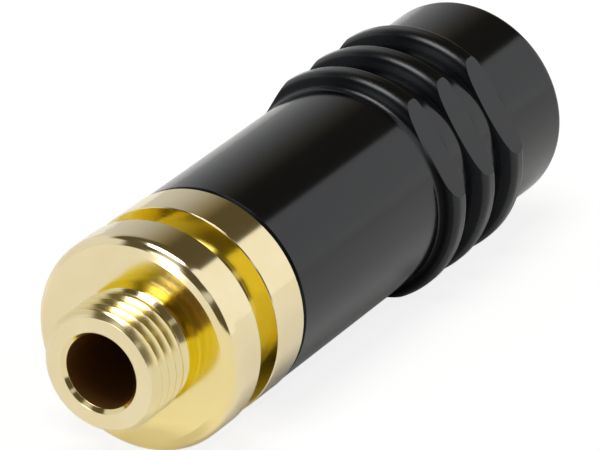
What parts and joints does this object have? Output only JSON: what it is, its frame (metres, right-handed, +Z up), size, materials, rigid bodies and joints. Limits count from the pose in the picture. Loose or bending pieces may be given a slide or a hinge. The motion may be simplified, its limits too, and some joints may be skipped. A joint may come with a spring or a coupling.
{
  "type": "inline audio jack socket",
  "caption": "Inline audio jack socket: gold-plated turned body with a threaded nose, flange and groove, and a ribbed black shell that unscrews from the contacts and cable clamp inside.",
  "frame": {"origin": "on the plug axis, in the plane of the flange's front face", "axes": "+Y along the plug axis from the nose to the cable end, so that the plug hole opens towards -Y; +Z up, with the part lying on one row of rib flats"},
  "size_m": [0.0118, 0.0343, 0.0112],
  "materials": {
    "gold_plate": "polished gold plating on turned brass",
    "black_anodised": "satin black anodised, turned",
    "carrier_plastic": "moulded, black",
    "cap_plastic": "moulded, grey",
    "contact_strip": "gold-plated stamped strip",
    "tag_strip": "tinned stamped strip",
    "sleeve_plastic": "extruded tube, natural"
  },
  "bodies": {
    "socket": {"socket_body": "gold_plate", "contact_carrier": "carrier_plastic", "carrier_cap": "cap_plastic", "tip_contact": "contact_strip", "ring_contact": "contact_strip", "ground_tag": "tag_strip"},
    "sleeve": {"insulating_sleeve": "sleeve_plastic"},
    "shell": {"outer_shell": "black_anodised"}
  },
  "joints": [
    {"name": "shell_back", "type": "slide", "parent": "socket", "child": "sleeve", "axis": [0, 1, 0], "range_m": [0, 0.0045]},
    {"name": "shell_turn", "type": "hinge", "parent": "sleeve", "child": "shell", "pos_m": [0, 0.00615, 0], "axis": [0, 1, 0], "range_deg": [0, 2160]}
  ],
  "couplings": [
    {"joint": "shell_turn", "follows": "shell_back", "rad_per_m": 8377.6}
  ]
}
